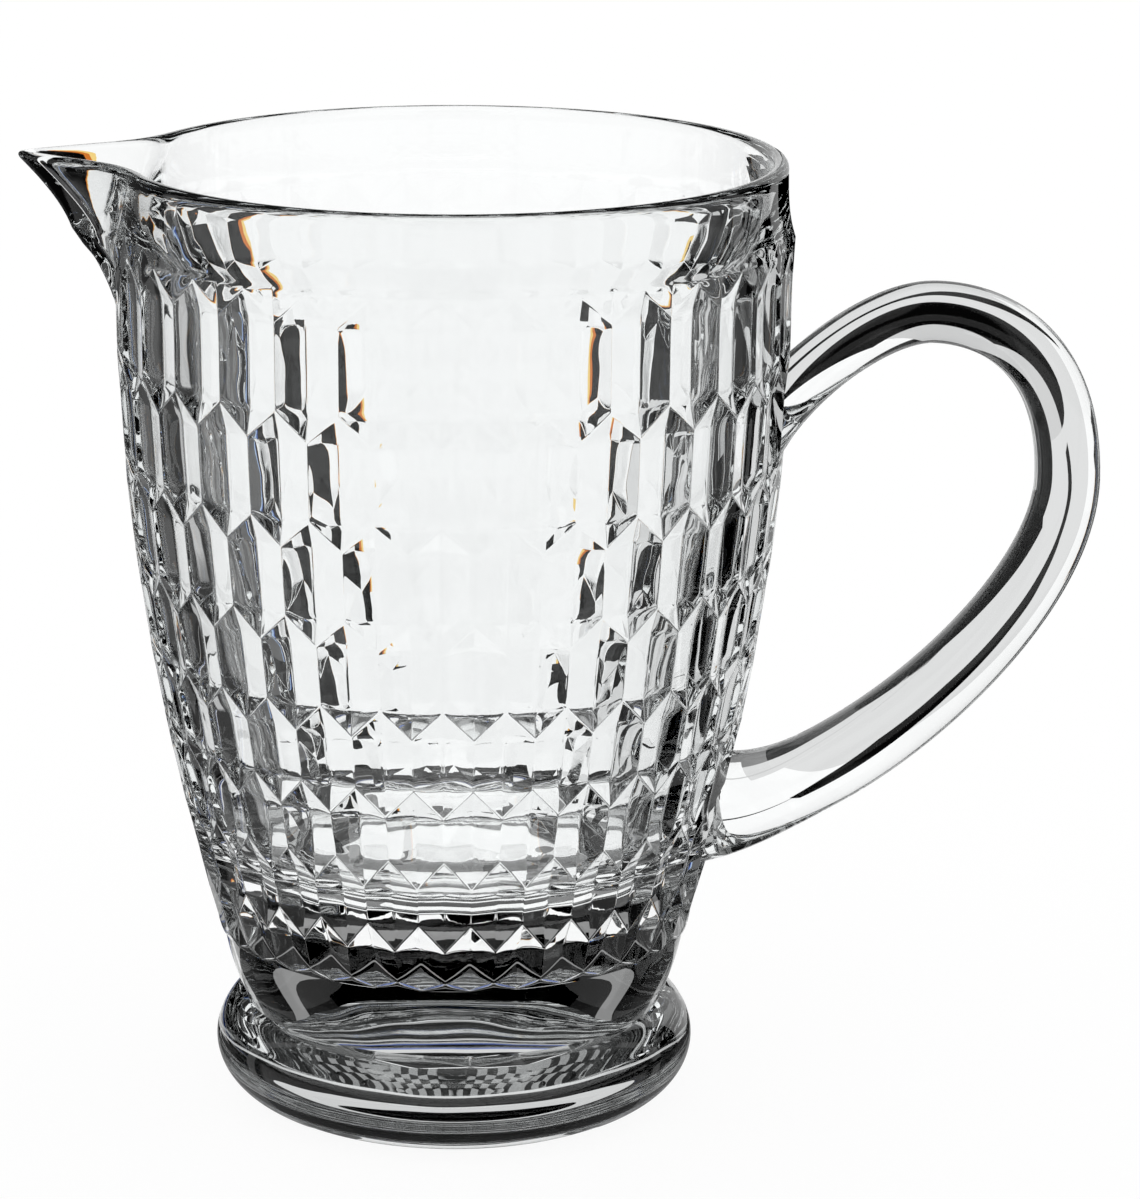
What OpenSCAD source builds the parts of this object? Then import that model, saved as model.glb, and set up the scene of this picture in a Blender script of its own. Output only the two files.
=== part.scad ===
// Footed crystal jug: a bowl cut with a honeycomb of facets, a pulled pouring lip, an applied
// loop handle, a waist and a round foot. Millimetres, +Z up, handle toward +X, lip toward -X.
// The origin is the centre of the foot's underside.

/* [Bowl] */
// Height of the rim above the table
height = 185; // [170:1:210]
// Outer diameter of the rim
rim_d = 126.4; // [120:0.2:134]
// Outer diameter across the facet ridges at the belly
belly_d = 128.6; // [122:0.2:138]
// How much further the ridges stand out at their top, under the band
ridge_rise = 0.4; // [0:0.1:1]
// Height above the table below which the wall draws in
belly_z = 156; // [140:1:164]
// Outer diameter at the lower end of the facets
base_d = 92; // [86:0.2:100]
// Power of the curve that the wall draws in by
taper_power = 1.9; // [1.4:0.05:2.4]
// Thickness of the wall at the rim
rim_wall = 3.2; // [2.4:0.1:5]
// Thickness of the wall behind the creases
body_wall = 3.4; // [2.6:0.1:6]
// Solid glass between the cavity and the waist
floor_t = 15; // [8:0.5:24]
// Radius of the round where the cavity wall meets its floor
floor_round = 12; // [6:0.5:18]
// Height of the smooth band under the rim
band_h = 15; // [10:0.5:22]
// How much the smooth band widens down to its step
band_flare = 0.7; // [0:0.1:1]
// Height of the step from the facets up to the smooth band
step_h = 0.6; // [0.4:0.1:2]

/* [Facets] */
// Facets in one row around the bowl
columns = 32; // [24:2:40]
// Rows of facets
rows = 8; // [6:1:10]
// Height of each row as a share of the row above it
row_shrink = 0.924; // [0.86:0.002:1.04]
// Depth of the crease in the middle of each facet below its edges
facet_depth = 1.4; // [0.6:0.1:2]
// Height of the zigzag between two rows
zigzag = 5.6; // [3:0.1:8]
// Length over which a crease rises to the edge at its ends
crease_end = 5.4; // [3:0.1:6]
// Height of the small points left above the lower end of the facets
point_h = 1.6; // [0.6:0.1:2.4]

/* [Pouring lip] */
// How far the lip reaches beyond the rim
lip_reach = 21.2; // [12:0.2:28]
// Half of the lip's angle, seen from above
lip_angle = 33; // [26:1:42]
// Height of the wall that the lip is pulled from
lip_h = 40; // [28:1:48]
// Power of the curve that the lip swells by
lip_power = 1.95; // [1.4:0.05:2.6]
// Radius of the lip's keel
lip_round = 2.6; // [1.5:0.1:5]
// Width over which the lip blends into the rim
lip_blend = 7; // [3:0.5:12]
// Thickness of the lip's sides
lip_wall = 2.8; // [2:0.1:4]

/* [Handle] */
// Distance of the rod's centre from the axis where it stands out most
handle_reach = 117; // [108:0.2:130]
// Height of the rod's centre where it stands out most
handle_reach_z = 125; // [114:0.2:134]
// Height of the rod's centre at the top of the loop
handle_top_z = 156.6; // [148:0.2:164]
// Distance of the rod's centre from the axis at the top of the loop
handle_top_x = 91; // [86:0.2:98]
// Height of the rod's upper end, inside the wall
upper_root_z = 124.5; // [118:0.5:130]
// Slope of the rod at its upper end
upper_root_angle = 79; // [65:1:84]
// Height of the rod's centre where it meets the wall below
lower_root_z = 58.4; // [52:0.2:66]
// Diameter of the rod toward the upper root
rod_top_d = 11; // [9:0.1:14]
// Diameter of the rod half way along it
rod_d = 12.5; // [10:0.1:15]
// Diameter of the rod toward the lower root
rod_low_d = 16.4; // [13:0.1:19]
// How much the rod widens all round at the lower root
root_flare = 3.4; // [1:0.1:5]
// Length over which the lower root widens
root_length = 24; // [12:1:30]

/* [Waist] */
// Height of the waist between the foot and the facets
waist_h = 14.6; // [8:0.2:22]
// Diameter at the top, under the facets
waist_d = 90.8; // [84:0.2:92]
// Diameter at the narrowest place, where the waist meets the foot
neck_d = 82.2; // [76:0.2:88]
// How far the waist's side swells
waist_swell = 0.5; // [0:0.1:1.5]

/* [Foot] */
// Largest diameter of the foot
foot_d = 93.8; // [88:0.2:110]
// Height above the table where the foot is widest
foot_wide_z = 10.4; // [7:0.1:11]
// Width of the foot's rounded edge
foot_round_w = 14.5; // [10:0.1:18]
// Half the height of the foot's rounded edge
foot_round_h = 11.6; // [11.2:0.1:14]

/* [Hidden] */
glass = [0.86, 0.90, 0.92];
// The foot's rounded edge is an ellipse about a ring
foot_ring_r = foot_d / 2 - foot_round_w;
neck_r = neck_d / 2;
neck_z = foot_wide_z + ellipse_rise(neck_r);
foot_steps = 22;
waist_steps = 8;
round_fn = 128;
// Heights of the bowl
base_z = neck_z + waist_h;
band_z = height - band_h;
floor_z = base_z + floor_t;
lip_low = height - lip_h;
// Radii of the bowl
rim_r = rim_d / 2;
belly_r = belly_d / 2;
base_r = base_d / 2;
rim_soft = rim_wall / 2;
rim_corner = 0.3 * rim_soft;
// Facet columns are counted in half pitches, so that creases and edges alternate
halves = 2 * columns;
half_pitch = 360 / halves;
first_column = half_pitch / 2;
first_boundary = band_z - zigzag / 2;
last_boundary = base_z + point_h - zigzag / 2;
row_sum = row_shrink == 1 ? rows : (1 - pow(row_shrink, rows)) / (1 - row_shrink);
first_row = (first_boundary - last_boundary) / row_sum;
// The ends of a crease are kept short enough for the lowest row
last_row = first_row * pow(row_shrink, rows - 1);
end_h = min(crease_end, 0.4 * (last_row + point_h));
// The rim is sampled more finely around the lip, which is at 180 degrees
lip_span = 24;
lip_limit = 60;
lip_samples = 4;
lip_inset = lip_wall / sin(lip_angle) - rim_wall;

function ellipse_rise(r) = foot_round_h * sqrt(1 - pow((r - foot_ring_r) / foot_round_w, 2));
function column_angle(i) = first_column + i * half_pitch;
function off_lip(a) = let (d = a % 360) abs((d < 0 ? d + 360 : d) - 180);

// Radius over the ridges at height z, without the lip
function ridge_r(z) =
    z >= belly_z ? belly_r + ridge_rise * pow(min(1, (z - belly_z) / (band_z - belly_z)), 2)
    : belly_r - (belly_r - base_r) * pow((belly_z - z) / (belly_z - base_z), taper_power);

// Radius of the cavity at height z, without the lip
function cavity_r(z) = min(rim_r - rim_wall, ridge_r(z) - facet_depth - body_wall);

// How far the wall is pulled out along the lip's keel at height z
function pull(z) = lip_reach * pow(max(0, z - lip_low) / lip_h, lip_power);

// Radius of a rounded wedge whose keel stands p beyond radius r, at an angle a from the keel
function wedge_r(r, p, a) =
    let (t = r + p + lip_round, c = cos(a), k = sin(a) / tan(lip_angle), m = t * t - lip_round * lip_round)
    m / (t * c + sqrt(t * t * c * c - (c * c - k * k) * m));

// Larger of two values, rounded over a width
function soft_max(a, b, width) =
    width <= 0 ? max(a, b)
    : let (h = max(width - abs(a - b), 0) / width) max(a, b) + h * h * width / 4;

// What the lip adds to radius r when its keel stands p beyond it
function lip_bulge(r, p, angle) =
    let (a = off_lip(angle))
    a > lip_limit || p <= 0 ? 0 : soft_max(r, wedge_r(r, p, a), min(lip_blend, p)) - r;

// Middle height of the zigzag under a row of facets
function boundary(b) =
    first_boundary - first_row * (row_shrink == 1 ? b : (1 - pow(row_shrink, b)) / (1 - row_shrink));
function is_crease(row, i) = (row + i + halves) % 2 == 1;
function wall_point(r, z, angle) =
    let (q = r + lip_bulge(ridge_r(z), pull(z), angle)) [q * cos(angle), q * sin(angle), z];
function corner_z(b, i) =
    b > rows ? base_z
    : is_crease(b, i) ? max(base_z, boundary(b) - zigzag / 2) : boundary(b) + zigzag / 2;
function corner_point(b, i) =
    let (z = corner_z(b, i)) wall_point(ridge_r(z), z, column_angle(i));

// A crease's upper end and lower end
function crease_z(row, end) =
    end == 0 ? boundary(row - 1) + zigzag / 2 - end_h
    : max(base_z, boundary(row) - zigzag / 2) + end_h;
function crease_point(row, i, end) =
    let (z = crease_z(row, end)) wall_point(ridge_r(z) - facet_depth, z, column_angle(i));

// Corners of the facets on every boundary, then the lower edge, then the crease ends of each row
wall_points = concat(
    [for (b = [0 : rows + 1]) for (i = [0 : halves - 1]) corner_point(b, i)],
    [for (row = [1 : rows]) for (end = [0 : 1]) for (i = [0 : halves - 1]) crease_point(row, i, end)]);
edge_row = rows + 1;
crease_start = (rows + 2) * halves;

function turn(i) = (i + halves) % halves;
function edge_at(i) = edge_row * halves + turn(i);
function crease_at(row, i, end) = crease_start + ((row - 1) * 2 + end) * halves + turn(i);

// Corner on boundary b at column i, where the lowest corners of the last row lie on the lower edge
function corner_at(b, i, top) =
    b == 0 && !is_crease(0, i) ? top[turn(i)]
    : b == rows && is_crease(rows, i) ? edge_at(i) : b * halves + turn(i);

// Half a facet between columns i and i + 1, in four triangles, seen from outside
function half_facet(row, i, top) =
    let (
        crease_left = is_crease(row, i),
        c = crease_left ? i : i + 1,
        e = crease_left ? i + 1 : i,
        high = corner_at(row - 1, c, top),
        low = corner_at(row, c, top),
        up = crease_at(row, c, 0),
        down = crease_at(row, c, 1),
        edge_up = corner_at(row - 1, e, top),
        edge_down = corner_at(row, e, top),
        faces = [[up, high, edge_up], [down, up, edge_up], [down, edge_up, edge_down],
                 [low, down, edge_down]])
    crease_left ? faces : [for (f = faces) [f[2], f[1], f[0]]];

function facet_faces(from, to, top) =
    [for (row = [1 : rows]) for (i = [from : to - 1]) each half_facet(row, i, top)];

// Points under the last row, between the zigzag and the lower edge
function point_faces(from, to) =
    [for (i = [from : to - 1]) is_crease(rows, i)
        ? [edge_at(i), rows * halves + turn(i + 1), edge_at(i + 1)]
        : [edge_at(i), rows * halves + turn(i), edge_at(i + 1)]];

// Rim samples: every column, and more of them around the lip
function samples(i) = off_lip(column_angle(i)) < lip_span ? lip_samples : 1;
rim_angles = [for (i = [0 : halves - 1]) for (s = [0 : samples(i) - 1])
    column_angle(i) + s * half_pitch / samples(i)];
rim_count = len(rim_angles);
column_start = [for (i = 0, n = 0; i < halves; n = n + samples(i), i = i + 1) n];

// Outer side of the band from the step up to the rim, as radius and height
band_steps = 4;
function band_side(t) = [rim_r + band_flare * t * t, height - rim_soft - (band_h - rim_soft - step_h) * t];
band_profile = concat(
    [[ridge_r(band_z), band_z]],
    [for (k = [0 : band_steps]) band_side(1 - k / band_steps)],
    [[rim_r - rim_corner, height - rim_corner], [rim_r - rim_soft, height]]);

// Cavity from the rim down to the floor, as radius and height
cavity_steps = 9;
round_steps = 5;
cavity_top = height - rim_soft;
cavity_low = floor_z + floor_round;
cavity_profile = concat(
    [[rim_r - rim_wall + rim_corner, height - rim_corner]],
    [for (k = [0 : cavity_steps])
        let (z = cavity_top - (cavity_top - cavity_low) * k / cavity_steps) [cavity_r(z), z]],
    [for (k = [1 : round_steps])
        let (a = 90 * k / round_steps)
        [cavity_r(cavity_low) - floor_round * (1 - cos(a)), cavity_low - floor_round * sin(a)]]);

function ring(r, z, bulge_r, p) =
    [for (a = rim_angles) let (q = r + lip_bulge(bulge_r, p, a)) [q * cos(a), q * sin(a), z]];
band_rings = [for (s = band_profile) ring(s[0], s[1], ridge_r(s[1]), pull(s[1]))];
cavity_rings = [for (s = cavity_profile) ring(s[0], s[1], s[0], pull(s[1]) - lip_inset)];

// Bowl with its cavity and lip, as one closed surface
module bowl() {
    rings = concat(band_rings, cavity_rings);
    start = len(wall_points);
    count = rim_count;
    top = [for (n = column_start) start + n];
    last = start + (len(rings) - 1) * count;
    strips = [for (j = [0 : len(rings) - 2]) for (m = [0 : count - 1])
        let (a = start + j * count + m, b = start + j * count + (m + 1) % count)
        each [[a, a + count, b + count], [a, b + count, b]]];
    notches = [for (i = [0 : halves - 1]) if (is_crease(0, i))
        let (from = column_start[turn(i - 1)], steps = samples(turn(i - 1)) + samples(i))
        for (s = [0 : steps - 1])
            [i, start + (from + s) % count, start + (from + s + 1) % count]];
    color(glass)
        polyhedron(
            points = concat(wall_points, [for (r = rings) each r]),
            faces = concat(
                facet_faces(0, halves, top),
                point_faces(0, halves),
                notches,
                strips,
                [[for (i = [0 : halves - 1]) edge_at(i)]],
                [[for (m = [0 : count - 1]) last + count - 1 - m]]));
}

// The bowl's wall behind the handle, filled to the axis, which the handle's roots are cut by
sector_halves = 5;
module wall_sector() {
    axis_top = len(wall_points);
    axis_low = axis_top + 1;
    top = [for (i = [0 : halves - 1]) i];
    from = -sector_halves;
    to = sector_halves;
    side = function (i) concat(
        [for (row = [1 : rows]) each
            is_crease(row, i)
                ? [corner_at(row - 1, i, top), crease_at(row, i, 0), crease_at(row, i, 1)]
                : [corner_at(row - 1, i, top)]],
        is_crease(rows, i) ? [edge_at(i)] : [corner_at(rows, i, top), edge_at(i)],
        [axis_low, axis_top]);
    left = side(from);
    right = side(to);
    polyhedron(
        points = concat(wall_points, [[0, 0, band_z], [0, 0, base_z]]),
        faces = concat(
            facet_faces(from, to, top),
            point_faces(from, to),
            [for (i = [from : to - 1])
                [axis_top, corner_at(0, i + 1, top), corner_at(0, i, top)]],
            [for (i = [from : to - 1]) [axis_low, edge_at(i), edge_at(i + 1)]],
            [left],
            [[for (k = [len(right) - 1 : -1 : 0]) right[k]]]));
}

// Rod centre as three cubic curves, in the plane of the handle
upper_depth = 8;
lower_depth = 4;
upper_root = [ridge_r(upper_root_z) - upper_depth, upper_root_z];
lower_root = [ridge_r(lower_root_z) - lower_depth, lower_root_z];
loop_top = [handle_top_x, handle_top_z];
loop_out = [handle_reach, handle_reach_z];
upper_rise = [cos(upper_root_angle), sin(upper_root_angle)];
loop_w = handle_reach - handle_top_x;
loop_h = handle_top_z - handle_reach_z;
drop_h = handle_reach_z - lower_root_z;
run_w = handle_top_x - upper_root[0];
// How far each curve's inner points lie from its ends
rise_pull = 0.36 * run_w;
crest_pull = 0.36 * run_w;
shoulder_pull = 0.371 * loop_w;
side_pull = 0.827 * loop_h;
drop_pull = 0.407 * drop_h;
sweep_pull = 0.365 * drop_h;
curves = [
    [upper_root, upper_root + rise_pull * upper_rise, loop_top - [crest_pull, 0], loop_top],
    [loop_top, loop_top + [shoulder_pull, 0], loop_out + [0, side_pull], loop_out],
    [loop_out, loop_out - [0, drop_pull], lower_root + [sweep_pull, 0], lower_root]];
curve_steps = [10, 10, 18];

function bezier(c, t) =
    pow(1 - t, 3) * c[0] + 3 * pow(1 - t, 2) * t * c[1] + 3 * (1 - t) * t * t * c[2] + t * t * t * c[3];
rod_path = concat(
    [for (n = [0 : 2]) for (k = [0 : curve_steps[n] - 1]) bezier(curves[n], k / curve_steps[n])],
    [lower_root]);
rod_rings = len(rod_path);
rod_sides = 20;

rod_lengths = [for (k = 0, d = 0; k < rod_rings;
    k = k + 1, d = k < rod_rings ? d + norm(rod_path[k] - rod_path[k - 1]) : d) d];
rod_total = rod_lengths[rod_rings - 1];

// Rod radius at distance d along the path: thicker toward the lower root, flared at both roots
upper_flare = 0.8;
upper_length = 30;
function flare(size, length, d) = size * pow(max(0, 1 - d / length), 2);
function rod_r(d) =
    let (
        t = 2 * d / rod_total,
        plain = t < 1 ? rod_top_d + (rod_d - rod_top_d) * t : rod_d + (rod_low_d - rod_d) * (t - 1))
    plain / 2 + flare(upper_flare, upper_length, d) + flare(root_flare, root_length, rod_total - d);
function rod_normal(k) =
    let (
        a = rod_path[max(k - 1, 0)],
        b = rod_path[min(k + 1, rod_rings - 1)],
        t = (b - a) / norm(b - a))
    [-t[1], t[0]];
function rod_ring(k) =
    let (c = rod_path[k], n = rod_normal(k), r = rod_r(rod_lengths[k]))
    [for (s = [0 : rod_sides - 1])
        let (a = 360 * s / rod_sides)
        [c[0] + r * cos(a) * n[0], r * sin(a), c[1] + r * cos(a) * n[1]]];

// Loop handle, its roots cut to the facets that it is stuck on
module handle() {
    color(glass)
        difference() {
            polyhedron(
                points = [for (k = [0 : rod_rings - 1]) each rod_ring(k)],
                faces = concat(
                    [for (k = [0 : rod_rings - 2]) for (s = [0 : rod_sides - 1])
                        let (a = k * rod_sides + s, b = k * rod_sides + (s + 1) % rod_sides)
                        each [[a, b + rod_sides, a + rod_sides], [a, b, b + rod_sides]]],
                    [[for (s = [0 : rod_sides - 1]) rod_sides - 1 - s]],
                    [[for (s = [0 : rod_sides - 1]) (rod_rings - 1) * rod_sides + s]]));
            wall_sector();
        }
}

// Waist: a short swelling cone of solid glass between foot and bowl
module waist() {
    side = [for (k = [0 : waist_steps])
        let (t = k / waist_steps)
        [neck_r + (waist_d / 2 - neck_r) * t + waist_swell * sin(180 * t), neck_z + waist_h * t]];
    color(glass)
        rotate_extrude($fn = round_fn)
            polygon(concat([[0, neck_z]], side, [[0, base_z]]));
}

// Foot: a solid disc with a round edge, flat underneath
module foot() {
    low = -asin(foot_wide_z / foot_round_h);
    high = asin((neck_z - foot_wide_z) / foot_round_h);
    edge = [for (k = [0 : foot_steps])
        let (a = low + (high - low) * k / foot_steps)
        [foot_ring_r + foot_round_w * cos(a), foot_wide_z + foot_round_h * sin(a)]];
    color(glass)
        rotate_extrude($fn = round_fn)
            polygon(concat([[0, 0]], edge, [[0, neck_z]]));
}

bowl();
handle();
waist();
foot();
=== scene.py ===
"""Looks of a footed crystal jug: cut bowl with a pulled lip, applied handle, waist and foot."""

import math

import bpy
import numpy as np
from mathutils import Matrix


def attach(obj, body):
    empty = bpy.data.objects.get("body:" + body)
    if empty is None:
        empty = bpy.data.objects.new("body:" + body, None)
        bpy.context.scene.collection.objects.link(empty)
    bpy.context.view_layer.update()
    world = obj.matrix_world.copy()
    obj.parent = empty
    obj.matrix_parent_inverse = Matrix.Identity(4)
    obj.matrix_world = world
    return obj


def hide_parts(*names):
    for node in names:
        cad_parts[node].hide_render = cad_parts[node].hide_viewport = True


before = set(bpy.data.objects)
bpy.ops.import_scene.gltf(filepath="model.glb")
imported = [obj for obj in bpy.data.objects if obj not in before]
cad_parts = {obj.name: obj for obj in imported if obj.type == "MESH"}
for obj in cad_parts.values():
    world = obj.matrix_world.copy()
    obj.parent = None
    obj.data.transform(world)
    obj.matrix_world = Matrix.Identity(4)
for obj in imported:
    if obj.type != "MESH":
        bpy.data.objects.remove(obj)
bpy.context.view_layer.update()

MM = 0.001

# Sizes in millimetres, as in the part's source
HEIGHT = 185.0
RIM_R = 63.2
BELLY_R = 64.3
BELLY_Z = 156.0
RIDGE_RISE = 0.4
BASE_R = 46.0
TAPER_POWER = 1.9
RIM_WALL = 3.2
BODY_WALL = 3.4
FLOOR_T = 15.0
FLOOR_ROUND = 12.0
BAND_H = 15.0
COLUMNS = 32
ROWS = 8
ROW_SHRINK = 0.924
FACET_DEPTH = 1.4
ZIGZAG = 5.6
CREASE_END = 5.4
POINT_H = 1.6
LIP_REACH = 21.2
LIP_ANGLE = math.radians(33)
LIP_H = 40.0
LIP_POWER = 1.95
LIP_ROUND = 2.6
LIP_BLEND = 7.0
LIP_WALL = 2.8
LIP_LIMIT = math.radians(60)
HANDLE_REACH = 117.0
HANDLE_REACH_Z = 125.0
HANDLE_TOP_Z = 156.6
HANDLE_TOP_X = 91.0
UPPER_ROOT_Z = 124.5
UPPER_ROOT_ANGLE = math.radians(79)
UPPER_DEPTH = 8.0
LOWER_ROOT_Z = 58.4
LOWER_DEPTH = 4.0
ROD_TOP_D = 11.0
ROD_D = 12.5
ROD_LOW_D = 16.4
UPPER_FLARE = 0.8
UPPER_LENGTH = 30.0
ROOT_FLARE = 3.4
ROOT_LENGTH = 24.0
# Pulls of the handle's curve, as shares of the spans that they bend over
UPPER_PULL = 0.36
TOP_PULL = 0.371
SHOULDER_PULL = 0.827
BACK_PULL = 0.407
LOWER_PULL = 0.365
WAIST_H = 14.6
WAIST_R = 45.4
NECK_R = 41.1
WAIST_SWELL = 0.5
FOOT_R = 46.9
FOOT_WIDE_Z = 10.4
FOOT_ROUND_W = 14.5
FOOT_ROUND_H = 11.6

# Heights and radii that follow from them
FOOT_RING_R = FOOT_R - FOOT_ROUND_W
NECK_Z = FOOT_WIDE_Z + FOOT_ROUND_H * math.sqrt(1 - ((NECK_R - FOOT_RING_R) / FOOT_ROUND_W) ** 2)
BASE_Z = NECK_Z + WAIST_H
BAND_Z = HEIGHT - BAND_H
FLOOR_Z = BASE_Z + FLOOR_T
LIP_LOW = HEIGHT - LIP_H
RIM_SOFT = RIM_WALL / 2
HALVES = 2 * COLUMNS
HALF_PITCH = 2 * math.pi / HALVES
FIRST_COLUMN = HALF_PITCH / 2
FIRST_BOUNDARY = BAND_Z - ZIGZAG / 2
LAST_BOUNDARY = BASE_Z + POINT_H - ZIGZAG / 2
FIRST_ROW = (FIRST_BOUNDARY - LAST_BOUNDARY) * (1 - ROW_SHRINK) / (1 - ROW_SHRINK ** ROWS)
LIP_INSET = LIP_WALL / math.sin(LIP_ANGLE) - RIM_WALL
RIM_EDGE_Z = HEIGHT - RIM_SOFT

# Fineness of the meshes
BAND_STEPS = 26
RIM_STEPS = 12
FLOOR_RADII = (2, 8, 16, 24)
ROUND_STEPS = 14
CAVITY_STEPS = 60
ROD_SIDES = 56
UPPER_STEPS = 36
TOP_STEPS = 34
BACK_STEPS = 60
CORE_SIDES = 256
CORE_STEPS = 60
LATHE_SIDES = 320
WAIST_STEPS = 14
FOOT_STEPS = 60
TINY = 1e-9


# Shapes of the bowl as functions of height and angle

def ridge_r(z):
    under = np.clip((BELLY_Z - z) / (BELLY_Z - BASE_Z), 0, None)
    over = np.clip((z - BELLY_Z) / (BAND_Z - BELLY_Z), 0, 1)
    return BELLY_R + RIDGE_RISE * over ** 2 - (BELLY_R - BASE_R) * under ** TAPER_POWER


def cavity_r(z):
    return np.minimum(RIM_R - RIM_WALL, ridge_r(z) - FACET_DEPTH - BODY_WALL)


def pull(z):
    return LIP_REACH * (np.clip(z - LIP_LOW, 0, None) / LIP_H) ** LIP_POWER


def soft_max(a, b, width):
    near = np.clip(width - np.abs(a - b), 0, None) / np.maximum(width, TINY)
    return np.maximum(a, b) + near * near * width / 4


def lip_bulge(r, p, angle):
    """What the lip adds to radius r when its keel stands p beyond it."""
    off = np.abs(np.mod(angle, 2 * math.pi) - math.pi)
    near = np.minimum(off, LIP_LIMIT)
    tip = r + p + LIP_ROUND
    c = np.cos(near)
    k = np.sin(near) / math.tan(LIP_ANGLE)
    m = tip * tip - LIP_ROUND * LIP_ROUND
    wedge = m / (tip * c + np.sqrt(np.maximum(tip * tip * c * c - (c * c - k * k) * m, 0)))
    added = soft_max(r, wedge, np.minimum(LIP_BLEND, np.maximum(p, 0))) - r
    return np.where((off > LIP_LIMIT) | (p <= 0), 0, added)


def boundary(b):
    """Middle height of the zigzag under row b of the facets."""
    return FIRST_BOUNDARY - FIRST_ROW * (1 - ROW_SHRINK ** b) / (1 - ROW_SHRINK)


# Softness of the pressed edges, as shares of a facet's depth
EDGE_SOFT = 0.10
CREASE_SOFT = 0.06
BOW = 0.05
SAG = 0.15
# The band flares smoothly into the top of the cut wall
BAND_POWER = 3
WALL_TOP = BAND_Z + 0.02
# Places of the plain rings above the first row and below the last one
ABOVE_ROWS = (0, 0.35, 0.7)
BELOW_ROWS = (0, 0.5, 1)
LAST_ROW_GAP = 0.12


def facet_sink(u, z, high, low, rise_low):
    """How deep a facet lies below its edges, as a share of its crease's depth.

    u runs from 0 on the row's own crease to 1 on the edge beside it."""
    slope = 1 / CREASE_END
    middle = (high + low + (rise_low - ZIGZAG) * u) / 2
    half = (high - low - (rise_low + ZIGZAG) * u) / 2
    off_middle = np.clip((z - middle) / half, -1, 1)
    crease = np.sqrt(u * u + CREASE_SOFT ** 2) - CREASE_SOFT
    crease = crease + BOW * 4 * u * (1 - u) + SAG * off_middle ** 2 * (1 - u)
    top = 1 + (z - high + ZIGZAG * u) * slope
    bottom = 1 + (low - z + rise_low * u) * slope
    own = soft_max(soft_max(crease, top, EDGE_SOFT), bottom, EDGE_SOFT)
    beside = 2 - u
    above = np.maximum(1 - u, 1 - (z - high + ZIGZAG * u) * slope)
    below = np.maximum(1 - u, 1 - (low - z + rise_low * u) * slope)
    others = np.minimum(np.minimum(beside, above), below)
    return 1 + soft_max(-own, -others, EDGE_SOFT)


# Samples across half a facet and down a row, closer together at the edges
ACROSS = np.array([0, 0.03, 0.07, 0.13, 0.24, 0.37, 0.5, 0.63, 0.76, 0.87, 0.93, 0.97])
DOWN_HALF = np.array([0, 0.012, 0.025, 0.04, 0.055, 0.07, 0.09, 0.11, 0.13, 0.15, 0.175, 0.21, 0.26,
                      0.33, 0.41])
DOWN = np.concatenate([DOWN_HALF, [0.5], 1 - DOWN_HALF[::-1]])
column_half = np.repeat(np.arange(HALVES), len(ACROSS))
column_share = np.tile(ACROSS, HALVES)
angles = FIRST_COLUMN + (column_half + column_share) * HALF_PITCH
chord = math.cos(HALF_PITCH / 2) / np.cos((column_share - 0.5) * HALF_PITCH)


def off_crease(row):
    """Distance of each column from the nearest crease of a row, in half pitches."""
    crease_left = (row + column_half) % 2 == 1
    return np.where(crease_left, column_share, 1 - column_share)


def ring(r, z, bulge):
    q = r + bulge
    return np.stack([q * np.cos(angles), q * np.sin(angles), np.broadcast_to(z, angles.shape)], axis=1)


def wall_rings():
    """Rings of the cut wall, from the band down to the waist."""
    rings = []
    u = off_crease(1)
    high = BAND_Z - ZIGZAG * u
    for t in ABOVE_ROWS:
        z = WALL_TOP + (high - WALL_TOP) * t
        rings.append((ridge_r(z) * chord, z))
    for row in range(1, ROWS + 1):
        u = off_crease(row)
        high = boundary(row - 1) + ZIGZAG / 2
        last = row == ROWS
        low = BASE_Z + LAST_ROW_GAP if last else boundary(row) - ZIGZAG / 2
        rise_low = POINT_H if last else ZIGZAG
        top = high - ZIGZAG * u
        bottom = low + rise_low * u
        for t in DOWN[:-1]:
            z = top + (bottom - top) * t
            sink = facet_sink(u, z, high, low, rise_low)
            rings.append(((ridge_r(z) - FACET_DEPTH * sink) * chord, z))
    for t in BELOW_ROWS:
        z = bottom + (BASE_Z - bottom) * t
        rings.append((ridge_r(z), z))
    return [ring(r, z, lip_bulge(ridge_r(z), pull(z), angles)) for r, z in rings]


def band_rings():
    """Rings of the smooth band, from the rim's outer edge down to the cut wall."""
    rings = []
    for k in range(BAND_STEPS):
        t = k / BAND_STEPS
        z = RIM_EDGE_Z + (WALL_TOP - RIM_EDGE_Z) * t
        rings.append((RIM_R + (ridge_r(BAND_Z) - RIM_R) * t ** BAND_POWER, z))
    return [ring(r, z, lip_bulge(ridge_r(z), pull(z), angles)) for r, z in rings]


def rim_rings():
    """Rings over the rounded rim, from the cavity's edge to the band's."""
    rings = []
    for k in range(1, RIM_STEPS):
        a = math.pi * k / RIM_STEPS
        r = RIM_R - RIM_SOFT - RIM_SOFT * math.cos(a)
        z = RIM_EDGE_Z + RIM_SOFT * math.sin(a)
        share = (1 - math.cos(a)) / 2
        inner = lip_bulge(RIM_R - RIM_WALL, pull(z) - LIP_INSET, angles)
        outer = lip_bulge(ridge_r(z), pull(z), angles)
        rings.append(ring(r, z, inner + (outer - inner) * share))
    return rings


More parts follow.
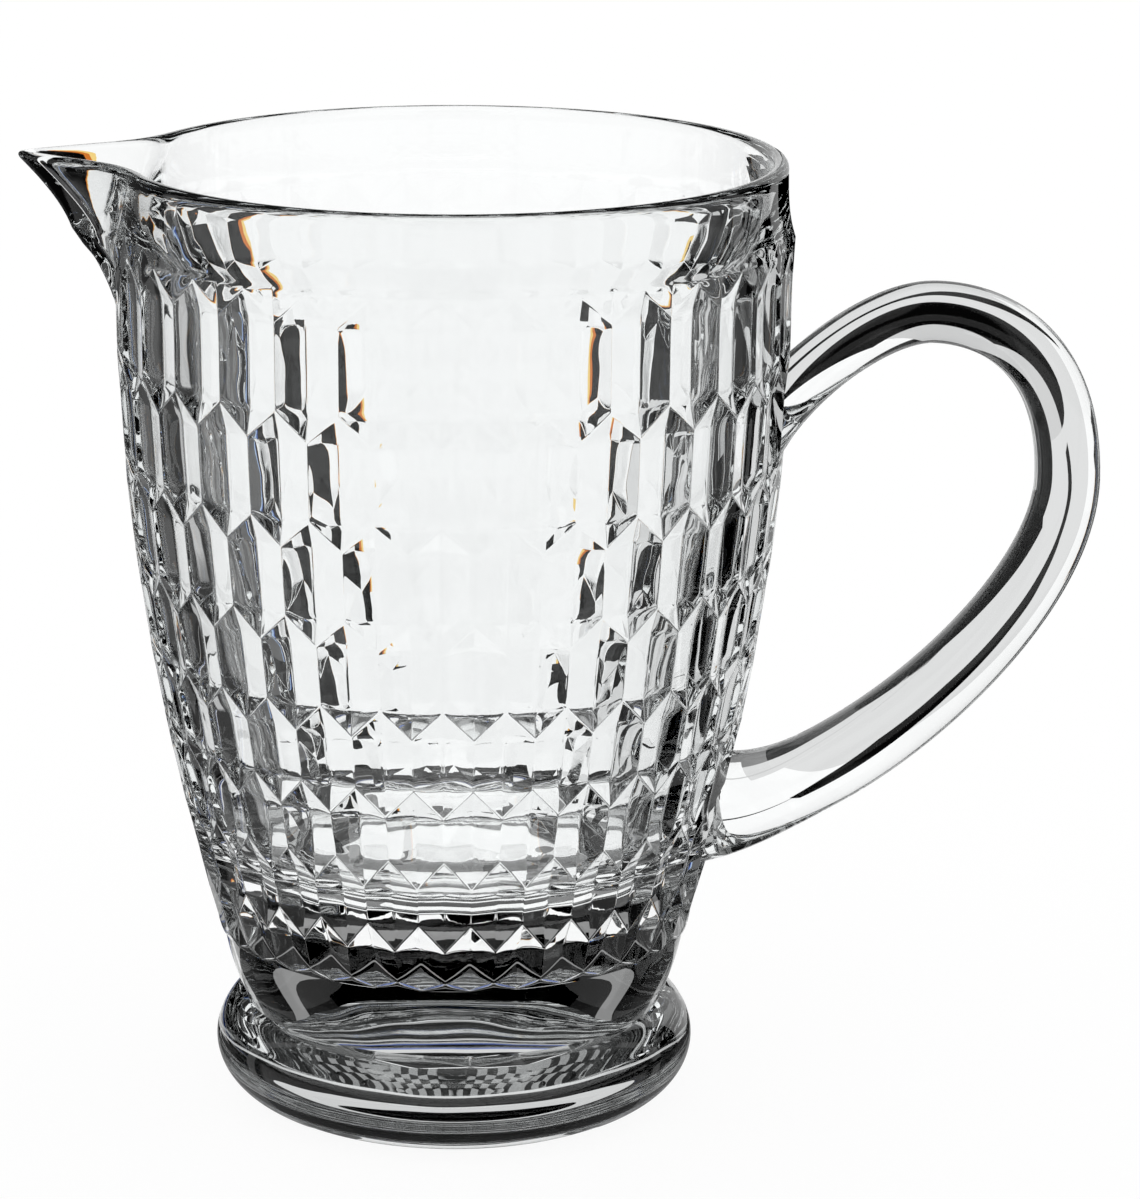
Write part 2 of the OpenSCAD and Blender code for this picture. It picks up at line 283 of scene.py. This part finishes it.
def cavity_rings():
    """Rings of the cavity, from its floor up to the rim's inner edge."""
    low = FLOOR_Z + FLOOR_ROUND
    corner = cavity_r(low)
    rings = []
    for r in FLOOR_RADII:
        rings.append((np.full(angles.shape, float(r)), FLOOR_Z))
    for k in range(ROUND_STEPS):
        a = math.pi / 2 * (1 - k / ROUND_STEPS)
        r = corner - FLOOR_ROUND * (1 - math.cos(a))
        rings.append((np.full(angles.shape, r), low - FLOOR_ROUND * math.sin(a)))
    for k in range(CAVITY_STEPS + 1):
        z = low + (RIM_EDGE_Z - low) * k / CAVITY_STEPS
        rings.append((np.full(angles.shape, cavity_r(z)), z))
    return [ring(r, z, lip_bulge(r, pull(z) - LIP_INSET, angles)) for r, z in rings]


# Mesh making

def joined_rings(name, rings, low_centre, high_centre, seal_low=False, seal_high=False):
    """Closed mesh through rings of equal count, from low_centre round to high_centre."""
    count = len(rings[0])
    points = np.concatenate(rings + [np.array([low_centre, high_centre], float)])
    faces = []
    here = np.arange(count)
    after = (here + 1) % count
    for j in range(len(rings) - 1):
        a = j * count
        quads = np.stack([a + here, a + after, a + count + after, a + count + here], axis=1)
        faces.extend(quads.tolist())
    low_index = len(rings) * count
    last = (len(rings) - 1) * count
    low_fan = np.stack([np.full(count, low_index), after, here], axis=1)
    high_fan = np.stack([np.full(count, low_index + 1), last + here, last + after], axis=1)
    first_low = len(faces)
    faces.extend(low_fan.tolist())
    first_high = len(faces)
    faces.extend(high_fan.tolist())
    mesh = bpy.data.meshes.new(name)
    mesh.from_pydata((points * MM).tolist(), [], faces)
    slots = np.zeros(len(faces), np.int32)
    if seal_low:
        slots[first_low:first_high] = 1
    if seal_high:
        slots[first_high:] = 1
    mesh.polygons.foreach_set("material_index", slots)
    mesh.polygons.foreach_set("use_smooth", np.ones(len(faces), bool))
    mesh.update()
    obj = bpy.data.objects.new(name, mesh)
    bpy.context.scene.collection.objects.link(obj)
    return obj


def split_sharp(obj, degrees):
    obj.data.set_sharp_from_angle(angle=math.radians(degrees))


def cut(obj, cutter):
    """Cuts one object by another and keeps the cut faces' own material."""
    mod = obj.modifiers.new("cut", "BOOLEAN")
    mod.operation = "DIFFERENCE"
    mod.object = cutter
    mod.solver = "EXACT"
    mod.material_mode = "TRANSFER"
    bpy.context.view_layer.update()
    evaluated = obj.evaluated_get(bpy.context.evaluated_depsgraph_get())
    mesh = bpy.data.meshes.new_from_object(evaluated)
    obj.modifiers.clear()
    old = obj.data
    obj.data = mesh
    bpy.data.meshes.remove(old)


def lathe(name, profile, segments, seal_low, seal_high):
    """Solid of revolution from a profile of radius and height, read from low to high."""
    turn = 2 * math.pi * np.arange(segments) / segments
    rings = []
    for r, z in profile:
        rings.append(np.stack([r * np.cos(turn), r * np.sin(turn), np.full(segments, z)], axis=1))
    low = (0, 0, profile[0][1])
    high = (0, 0, profile[-1][1])
    return joined_rings(name, rings, low, high, seal_low, seal_high)


# Materials

GLASS_IOR = 1.545


def new_material(name):
    mat = bpy.data.materials.new(name)
    mat.use_nodes = True
    mat.node_tree.nodes.clear()
    return mat, mat.node_tree.nodes, mat.node_tree.links


def crystal(name, tint, wave_scale, wave_height):
    """Clear crystal with the faint waves of a fire-polished skin, in waves a metre and millimetres."""
    mat, nodes, links = new_material(name)
    out = nodes.new("ShaderNodeOutputMaterial")
    glass = nodes.new("ShaderNodeBsdfGlass")
    glass.inputs["Color"].default_value = (*tint, 1)
    glass.inputs["Roughness"].default_value = 0.0
    glass.inputs["IOR"].default_value = GLASS_IOR
    place = nodes.new("ShaderNodeTexCoord")
    waves = nodes.new("ShaderNodeTexNoise")
    waves.inputs["Scale"].default_value = wave_scale
    waves.inputs["Detail"].default_value = 1.0
    skin = nodes.new("ShaderNodeBump")
    skin.inputs["Strength"].default_value = 1.0
    skin.inputs["Distance"].default_value = wave_height * MM
    links.new(place.outputs["Object"], waves.inputs["Vector"])
    links.new(waves.outputs["Fac"], skin.inputs["Height"])
    links.new(skin.outputs["Normal"], glass.inputs["Normal"])
    links.new(glass.outputs[0], out.inputs["Surface"])
    return mat


def seal_material():
    mat, nodes, links = new_material("glass_seal")
    out = nodes.new("ShaderNodeOutputMaterial")
    clear = nodes.new("ShaderNodeBsdfTransparent")
    links.new(clear.outputs[0], out.inputs["Surface"])
    return mat


CLEAR = (0.985, 0.99, 0.99)
PRESSED_WAVES = (100, 0.08)
DRAWN_WAVES = (60, 0.12)
bowl_glass = crystal("bowl_crystal", CLEAR, *PRESSED_WAVES)
handle_glass = crystal("handle_crystal", CLEAR, *DRAWN_WAVES)
foot_glass = crystal("foot_crystal", CLEAR, *DRAWN_WAVES)
seal = seal_material()

# Bowl
bowl_rings = wall_rings()[::-1] + band_rings()[::-1] + rim_rings()[::-1] + cavity_rings()[::-1]
bowl = joined_rings("jug_bowl", bowl_rings, (0, 0, BASE_Z), (0, 0, FLOOR_Z), seal_low=True)
bowl.data.materials.append(bowl_glass)
bowl.data.materials.append(seal)


# Handle
def bezier(points, steps):
    p = np.array(points, float)
    t = np.arange(steps)[:, None] / steps
    near = (1 - t) ** 3 * p[0] + 3 * (1 - t) ** 2 * t * p[1]
    far = 3 * (1 - t) * t * t * p[2] + t ** 3 * p[3]
    return near + far


def rod_path():
    """Middle line of the handle's rod, from its upper root to its lower one."""
    upper = np.array([ridge_r(UPPER_ROOT_Z) - UPPER_DEPTH, UPPER_ROOT_Z])
    lower = np.array([ridge_r(LOWER_ROOT_Z) - LOWER_DEPTH, LOWER_ROOT_Z])
    top = np.array([HANDLE_TOP_X, HANDLE_TOP_Z])
    out = np.array([HANDLE_REACH, HANDLE_REACH_Z])
    run = HANDLE_TOP_X - upper[0]
    wide = HANDLE_REACH - HANDLE_TOP_X
    tall = HANDLE_TOP_Z - HANDLE_REACH_Z
    drop = HANDLE_REACH_Z - LOWER_ROOT_Z
    rise = np.array([math.cos(UPPER_ROOT_ANGLE), math.sin(UPPER_ROOT_ANGLE)])
    return np.concatenate([
        bezier([upper, upper + UPPER_PULL * run * rise, top - [UPPER_PULL * run, 0], top], UPPER_STEPS),
        bezier([top, top + [TOP_PULL * wide, 0], out + [0, SHOULDER_PULL * tall], out], TOP_STEPS),
        bezier([out, out - [0, BACK_PULL * drop], lower + [LOWER_PULL * drop, 0], lower], BACK_STEPS),
        [lower]])


def rod_rings(sides):
    """Middle line of the rod and the rings round it, thicker towards both roots."""
    path = rod_path()
    steps = np.linalg.norm(np.diff(path, axis=0), axis=1)
    along = np.concatenate([[0], np.cumsum(steps)])
    total = along[-1]
    flare_up = UPPER_FLARE * np.clip(1 - along / UPPER_LENGTH, 0, None) ** 2
    flare_down = ROOT_FLARE * np.clip(1 - (total - along) / ROOT_LENGTH, 0, None) ** 2
    plain = np.interp(along / total, (0, 0.5, 1), (ROD_TOP_D, ROD_D, ROD_LOW_D))
    radius = plain / 2 + flare_up + flare_down
    tangent = np.gradient(path, axis=0)
    tangent /= np.linalg.norm(tangent, axis=1)[:, None]
    turn = 2 * math.pi * np.arange(sides) / sides
    rings = []
    for c, t, r in zip(path, tangent, radius):
        x = c[0] - r * np.cos(turn) * t[1]
        z = c[1] + r * np.cos(turn) * t[0]
        rings.append(np.stack([x, -r * np.sin(turn), z], axis=1))
    return path, rings


path, rod = rod_rings(ROD_SIDES)
low_end = (path[0][0], 0, path[0][1])
high_end = (path[-1][0], 0, path[-1][1])
handle = joined_rings("jug_handle", rod, low_end, high_end)
handle.data.materials.append(handle_glass)
handle.data.materials.append(seal)

# What the handle's roots are cut by: a sector of the cut wall, filled to a core
SECTOR = 5
sector_columns = np.where((column_half < SECTOR) | (column_half >= HALVES - SECTOR))[0]
sector_columns = np.roll(sector_columns, SECTOR * len(ACROSS))
CORE_SHARE = 0.3


def wall_sector():
    rings = []
    for outer in wall_rings():
        side = outer[sector_columns]
        core = side * np.array([CORE_SHARE, CORE_SHARE, 1])
        rings.append(np.concatenate([side, core[::-1]]))
    rings = rings[::-1]
    return joined_rings("sector", rings, rings[0].mean(axis=0), rings[-1].mean(axis=0))


sector = wall_sector()
sector.data.materials.append(seal)
cut(handle, sector)
bpy.data.objects.remove(sector)

# Shallow sockets in the wall behind the roots, with clear seal faces, so that both read as one glass
SOCKET_DEPTH = 2.4
CORE_BELOW = 10
root = joined_rings("root_tool", rod, low_end, high_end)
root.data.materials.append(seal)
core_heights = np.linspace(BASE_Z - CORE_BELOW, BAND_Z, CORE_STEPS)
core_profile = [(ridge_r(z) - SOCKET_DEPTH, z) for z in core_heights]
core = lathe("core_tool", core_profile, CORE_SIDES, False, False)
core.data.materials.append(seal)
cut(root, core)
cut(bowl, root)
bpy.data.objects.remove(core)
bpy.data.objects.remove(root)

# Waist
waist_profile = []
for k in range(WAIST_STEPS + 1):
    t = k / WAIST_STEPS
    r = NECK_R + (WAIST_R - NECK_R) * t + WAIST_SWELL * math.sin(math.pi * t)
    waist_profile.append((r, NECK_Z + WAIST_H * t))
waist = lathe("jug_waist", waist_profile, LATHE_SIDES, True, True)
waist.data.materials.append(foot_glass)
waist.data.materials.append(seal)

# Foot
foot_low = -math.asin(FOOT_WIDE_Z / FOOT_ROUND_H)
foot_high = math.asin((NECK_Z - FOOT_WIDE_Z) / FOOT_ROUND_H)
foot_profile = []
for k in range(FOOT_STEPS + 1):
    a = foot_low + (foot_high - foot_low) * k / FOOT_STEPS
    r = FOOT_RING_R + FOOT_ROUND_W * math.cos(a)
    foot_profile.append((r, FOOT_WIDE_Z + FOOT_ROUND_H * math.sin(a)))
foot = lathe("jug_foot", foot_profile, LATHE_SIDES, False, True)
foot.data.materials.append(foot_glass)
foot.data.materials.append(seal)

# Edges sharper than these angles, in degrees, are shaded as edges
CUT_EDGE = 50
GROUND_EDGE = 15
PIECES = (
    (bowl, "bowl", "bowl_crystal", CUT_EDGE),
    (handle, "handle", "handle_crystal", CUT_EDGE),
    (waist, "waist", "foot_crystal", CUT_EDGE),
    (foot, "foot", "foot_crystal", GROUND_EDGE),
)
for piece, node, slot, edge in PIECES:
    split_sharp(piece, edge)
    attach(piece, "root")
    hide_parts(node)

# Camera, at the photograph's viewing angle
CAM_TURN = math.radians(4.81)
CAM_FAR = 0.882
CAM_HIGH = 0.3337
CAM_PITCH = 0.2608
CAM_SHIFT_PX = 116
PICTURE_W = 1140
FOCAL_PX = 4715
SENSOR_W = 36.0
cam_data = bpy.data.cameras.new("camera")
cam_data.sensor_fit = "HORIZONTAL"
cam_data.sensor_width = SENSOR_W
cam_data.lens = FOCAL_PX / PICTURE_W * SENSOR_W
cam_data.shift_x = CAM_SHIFT_PX / PICTURE_W
cam = bpy.data.objects.new("camera", cam_data)
bpy.context.scene.collection.objects.link(cam)
cam.location = (CAM_FAR * math.sin(CAM_TURN), -CAM_FAR * math.cos(CAM_TURN), CAM_HIGH)
cam.rotation_euler = (math.pi / 2 - CAM_PITCH, 0, CAM_TURN)
bpy.context.scene.camera = cam

# World: white for the camera, a studio of bright panels and dark gaps for what the glass shows
world = bpy.data.worlds.new("studio")
bpy.context.scene.world = world
world.use_nodes = True
wn = world.node_tree.nodes
wl = world.node_tree.links
wn.clear()


def math_node(operation, *values, clamp=False):
    node = wn.new("ShaderNodeMath")
    node.operation = operation
    node.use_clamp = clamp
    for socket, value in zip(node.inputs, values):
        if isinstance(value, (int, float)):
            socket.default_value = value
        else:
            wl.new(value, socket)
    return node.outputs[0]


coords = wn.new("ShaderNodeTexCoord")
split = wn.new("ShaderNodeSeparateXYZ")
wl.new(coords.outputs["Generated"], split.inputs[0])
HALF_TURN = 180
FULL_TURN = 360
DEGREES = HALF_TURN / math.pi
azimuth = math_node("MULTIPLY", math_node("ARCTAN2", split.outputs[1], split.outputs[0]), DEGREES)
elevation = math_node("MULTIPLY", math_node("ARCSINE", split.outputs[2]), DEGREES)


def window(value, low, high, soft):
    """1 between two values, falling to 0 over a width outside them."""
    rise = math_node("DIVIDE", math_node("SUBTRACT", value, low - soft), soft, clamp=True)
    fall = math_node("DIVIDE", math_node("SUBTRACT", high + soft, value), soft, clamp=True)
    return math_node("MULTIPLY", rise, fall)


def panel(centre, half, low, high, soft_az, soft_el, strength):
    """Bright panel round an azimuth, between two elevations, in degrees."""
    turn = math_node("ADD", math_node("SUBTRACT", azimuth, centre), FULL_TURN + HALF_TURN)
    turn = math_node("SUBTRACT", math_node("MODULO", turn, FULL_TURN), HALF_TURN)
    across = window(turn, -half, half, soft_az)
    up = window(elevation, low, high, soft_el)
    return math_node("MULTIPLY", math_node("MULTIPLY", across, up), strength)


# Panels by azimuth, half width, lowest and highest elevation, soft edges across and up, and strength
LOOK = 90 + math.degrees(CAM_TURN)
PANELS = (
    (LOOK + 40, 12, -60, 60, 3, 4, 0.06),
    (LOOK - 40, 12, -60, 60, 3, 4, 0.06),
    (LOOK + 68, 3, -20, 60, 1, 4, 0.5),
    (LOOK - 68, 3, -20, 60, 1, 4, 0.5),
    (LOOK + 120, 42, -55, 0, 3, 3, 0.45),
    (LOOK - 120, 42, -55, 0, 3, 3, 0.45),
    (LOOK + 150, 14, 15, 60, 3, 4, 0.4),
    (LOOK - 150, 14, 15, 60, 3, 4, 0.4),
    (LOOK + 180, 14, -20, 0, 3, 3, 0.4),
)
light = None
for values in PANELS:
    one = panel(*values)
    light = one if light is None else math_node("MAXIMUM", light, one)
OVERHEAD = (68, 90, 8)
OVERHEAD_LEVEL = 0.5
DARKEST = 0.02
overhead = math_node("MULTIPLY", window(elevation, *OVERHEAD), OVERHEAD_LEVEL)
light = math_node("MAXIMUM", light, overhead)
studio = math_node("ADD", math_node("MULTIPLY", light, 1 - DARKEST), DARKEST)

path_node = wn.new("ShaderNodeLightPath")
seen = math_node("MAXIMUM", path_node.outputs["Is Glossy Ray"], path_node.outputs["Is Transmission Ray"])
AMBIENT = 0.8
level = math_node("ADD", math_node("MULTIPLY", studio, seen),
                  math_node("MULTIPLY", math_node("SUBTRACT", 1.0, seen), AMBIENT))
plain = math_node("SUBTRACT", 1.0, path_node.outputs["Is Camera Ray"])
level = math_node("ADD", math_node("MULTIPLY", level, plain), path_node.outputs["Is Camera Ray"])
background = wn.new("ShaderNodeBackground")
background.inputs["Color"].default_value = (1, 1, 1, 1)
wl.new(level, background.inputs["Strength"])
world_out = wn.new("ShaderNodeOutputWorld")
wl.new(background.outputs[0], world_out.inputs["Surface"])

# Floor: white to the camera with a faint shadow, open to what the glass shows
FLOOR_HALF = 3.0
FLOOR_Z_M = -0.0004
FLOOR_GLOW = 1.04
FLOOR_GREY = 0.9
FLOOR_SHADE = 0.12
floor_mesh = bpy.data.meshes.new("floor")
floor_mesh.from_pydata([(-FLOOR_HALF, -FLOOR_HALF, 0), (FLOOR_HALF, -FLOOR_HALF, 0),
                        (FLOOR_HALF, FLOOR_HALF, 0), (-FLOOR_HALF, FLOOR_HALF, 0)], [], [(0, 1, 2, 3)])
floor = bpy.data.objects.new("floor", floor_mesh)
floor.location.z = FLOOR_Z_M
bpy.context.scene.collection.objects.link(floor)
floor_mat, fn, fl = new_material("floor_white")
floor_out = fn.new("ShaderNodeOutputMaterial")
floor_glow = fn.new("ShaderNodeEmission")
floor_glow.inputs["Strength"].default_value = FLOOR_GLOW
floor_white = fn.new("ShaderNodeBsdfDiffuse")
floor_white.inputs["Color"].default_value = (FLOOR_GREY, FLOOR_GREY, FLOOR_GREY, 1)
floor_mix = fn.new("ShaderNodeMixShader")
floor_mix.inputs[0].default_value = FLOOR_SHADE
fl.new(floor_glow.outputs[0], floor_mix.inputs[1])
fl.new(floor_white.outputs[0], floor_mix.inputs[2])
floor_path = fn.new("ShaderNodeLightPath")
floor_open = fn.new("ShaderNodeBsdfTransparent")
floor_seen = fn.new("ShaderNodeMath")
floor_seen.operation = "MAXIMUM"
fl.new(floor_path.outputs["Is Glossy Ray"], floor_seen.inputs[0])
fl.new(floor_path.outputs["Is Transmission Ray"], floor_seen.inputs[1])
floor_pick = fn.new("ShaderNodeMixShader")
fl.new(floor_seen.outputs[0], floor_pick.inputs[0])
fl.new(floor_mix.outputs[0], floor_pick.inputs[1])
fl.new(floor_open.outputs[0], floor_pick.inputs[2])
fl.new(floor_pick.outputs[0], floor_out.inputs["Surface"])
floor_mesh.materials.append(floor_mat)

# Cards round the jug, seen only through the glass and in its reflections
CARD_AWAY = 220.0
HANDLE_AWAY = 95.0
LINE_AWAY = 94
STRIPS_AWAY = 59
CARD_LOW = 42.0
FLAG_LOW = 0.0
CARD_TOP = 140.0
ABOVE_TOP = 280
TABLE_Z = -0.3
UNDER_Z = -12.0
WHITE = (1.07, 1.07, 1.07)
BLACK = (0.0, 0.0, 0.0)
DIM = (0.12, 0.12, 0.12)
SHADED = (0.28, 0.28, 0.28)
SOFT_WHITE = (0.68, 0.68, 0.68)
PALE = (0.8, 0.8, 0.8)
# Colours of the painted dispersion fringes at the cards' edges
YELLOW = (1.0, 0.72, 0.25)
ORANGE = (0.7, 0.2, 0.03)
BLUE = (0.08, 0.14, 0.42)
SKY = (0.5, 0.66, 0.9)


def seen_from_camera(x, away, z):
    """Point given by its distance to the right and away from the axis, as the camera sees them."""
    c = math.cos(CAM_TURN)
    s = math.sin(CAM_TURN)
    return (MM * (x * c - away * s), MM * (x * s + away * c), MM * z)


def stage_card(name, corners, colour):
    mesh = bpy.data.meshes.new(name)
    mesh.from_pydata([seen_from_camera(*corner) for corner in corners], [], [(0, 1, 2, 3)])
    mat, nodes, links = new_material(name)
    out = nodes.new("ShaderNodeOutputMaterial")
    glow = nodes.new("ShaderNodeEmission")
    glow.inputs["Color"].default_value = (*colour, 1)
    glow.inputs["Strength"].default_value = 1.0
    links.new(glow.outputs[0], out.inputs["Surface"])
    mesh.materials.append(mat)
    obj = bpy.data.objects.new(name, mesh)
    obj.visible_camera = False
    obj.visible_diffuse = False
    obj.visible_shadow = False
    bpy.context.scene.collection.objects.link(obj)


def standing(name, left, right, away, low, high, colour):
    corners = ((left, away, low), (right, away, low), (right, away, high), (left, away, high))
    stage_card(name, corners, colour)


def lying(name, left, right, near, far, z, colour):
    corners = ((left, near, z), (right, near, z), (right, far, z), (left, far, z))
    stage_card(name, corners, colour)


# Bright card between two dark flags, with more light above them; the coloured strips at their edges are
# painted dispersion fringes, standing in for the colours that crystal splits from a bright edge.
# Each has its left and right end and its lower edge
BACKDROP = (
    ("card", -85, 105, CARD_LOW, WHITE),
    ("card_left_warm_fringe", -87, -85, CARD_LOW, YELLOW),
    ("card_left_edge_fringe", -89, -87, CARD_LOW, ORANGE),
    ("flag_left", -150, -89, FLAG_LOW, BLACK),
    ("flag_left_edge_fringe", -153, -150, FLAG_LOW, BLUE),
    ("flag_left_cold_fringe", -156, -153, FLAG_LOW, SKY),
    ("grey_left", -215, -156, FLAG_LOW, DIM),
    ("card_right_warm_fringe", 105, 107, CARD_LOW, YELLOW),
    ("card_right_edge_fringe", 107, 109, CARD_LOW, ORANGE),
    ("flag_right", 109, 175, FLAG_LOW, BLACK),
    ("flag_right_edge_fringe", 175, 178, FLAG_LOW, BLUE),
    ("flag_right_cold_fringe", 178, 181, FLAG_LOW, SKY),
)
for name, left, right, low, colour in BACKDROP:
    standing(name, left, right, CARD_AWAY, low, CARD_TOP, colour)
standing("card_above", -125, 86, CARD_AWAY, CARD_TOP, ABOVE_TOP, WHITE)

# Table: bright behind the jug, with painted shade under its foot and in front of it, dark far to the
# right.
# Each card has its left, right, near and far end and its height
TABLE = (
    ("under_front", -70, 70, -90, -13, UNDER_Z, DIM),
    ("under_left", -70, -30, -13, 105, UNDER_Z, SHADED),
    ("under_middle", -30, 30, -13, 105, UNDER_Z, WHITE),
    ("under_right", 30, 70, -13, 105, UNDER_Z, SHADED),
    ("under_far", -200, 200, 105, 500, UNDER_Z, BLACK),
    # Painted shade: a dim card just under the foot's base, standing in for the table's shadow where the
    # foot stands
    ("foot_shade", -34, 34, 6, 28, TABLE_Z, DIM),
    ("table_behind", -98, 50, 40, 240, TABLE_Z, WHITE),
    ("table_beyond", 50, 120, 95, 240, TABLE_Z, WHITE),
    ("table_far", -140, 160, 240, 700, TABLE_Z, WHITE),
    # Painted shade: a black card on the table in front of the foot, standing in for the jug's shade
    # there
    ("table_near_shade", -60, 60, -120, -48, TABLE_Z, BLACK),
    ("table_front", -60, 60, -160, -120, TABLE_Z, WHITE),
    ("table_right", 118, 420, -120, 50, TABLE_Z, BLACK),
)
for values in TABLE:
    lying(*values)

# Cards on the table with one slanting side, by the places of their corners
SLANTING = (
    ("table_slant", ((118, 50), (420, 50), (420, 200), (220, 200)), BLACK),
    ("table_beside", ((50, 55), (118, 55), (157, 95), (50, 95)), PALE),
)
for name, places, colour in SLANTING:
    stage_card(name, [(x, away, TABLE_Z) for x, away in places], colour)

# Strips low behind the foot, by their left and right end and their lower and upper edge
LOW_STRIPS = (
    ("low_floor", -220, 38, 0, 3.4, SOFT_WHITE),
    # The blue strips are painted dispersion fringes at the edges between light and dark strips
    ("low_floor_cold_fringe", -220, 38, 3.4, 5, BLUE),
    ("low_line", -220, 38, 5, 7.2, BLACK),
    ("low_gap_cold_fringe", -220, 38, 7.2, 7.8, BLUE),
    ("low_gap", -220, 38, 7.8, 8.8, SOFT_WHITE),
    ("low_strip", -220, 38, 8.8, 15.4, BLACK),
    ("foot_left", -220, -36, 15.4, 17.3, BLACK),
    ("foot_gap", -36, 130, 15.4, 17.3, SOFT_WHITE),
    ("high_strip", -220, 38, 17.3, 23.2, BLACK),
    ("high_gap", -220, 38, 23.2, 25, SHADED),
    ("top_strip", -220, 38, 25, 36, BLACK),
)
for name, left, right, low, high, colour in LOW_STRIPS:
    standing(name, left, right, STRIPS_AWAY, low, high, colour)
# Dark strip at the table's far edge
standing("far_strip", -220, 240, 705, 0, 70, BLACK)

# Cards behind the handle, given in the same way
HANDLE_CARDS = (
    ("handle_foot", 75, 168, 0, 45, PALE),
    ("handle_low", 75, 168, 45, 112, PALE),
    ("handle_dark", 68, 135, 112, 165, BLACK),
    ("handle_strip", 135, 168, 112, 165, SOFT_WHITE),
    ("handle_above", 75, 168, 165, 260, SOFT_WHITE),
    ("handle_side", 168, 240, 0, 260, BLACK),
)
for name, left, right, low, high, colour in HANDLE_CARDS:
    standing(name, left, right, HANDLE_AWAY, low, high, colour)

# Dark line along the handle: a strip that climbs to the right, by points along its two edges
LINE_LOW = ((52, 50), (84, 51), (98, 61), (119, 89), (133, 106))
LINE_HIGH = ((52, 58), (84, 74), (98, 87), (113, 92), (128, 108))
for k in range(len(LINE_LOW) - 1):
    edge = (*LINE_LOW[k:k + 2], *LINE_HIGH[k:k + 2][::-1])
    stage_card("handle_line_%d" % k, [(x, LINE_AWAY, z) for x, z in edge], BLACK)
standing("handle_low_side", 157, 170, LINE_AWAY, 0, 75, BLACK)

scene = bpy.context.scene
scene.view_settings.view_transform = "Standard"
BOUNCES = 8
scene.cycles.max_bounces = BOUNCES
scene.cycles.transmission_bounces = BOUNCES
scene.cycles.glossy_bounces = BOUNCES
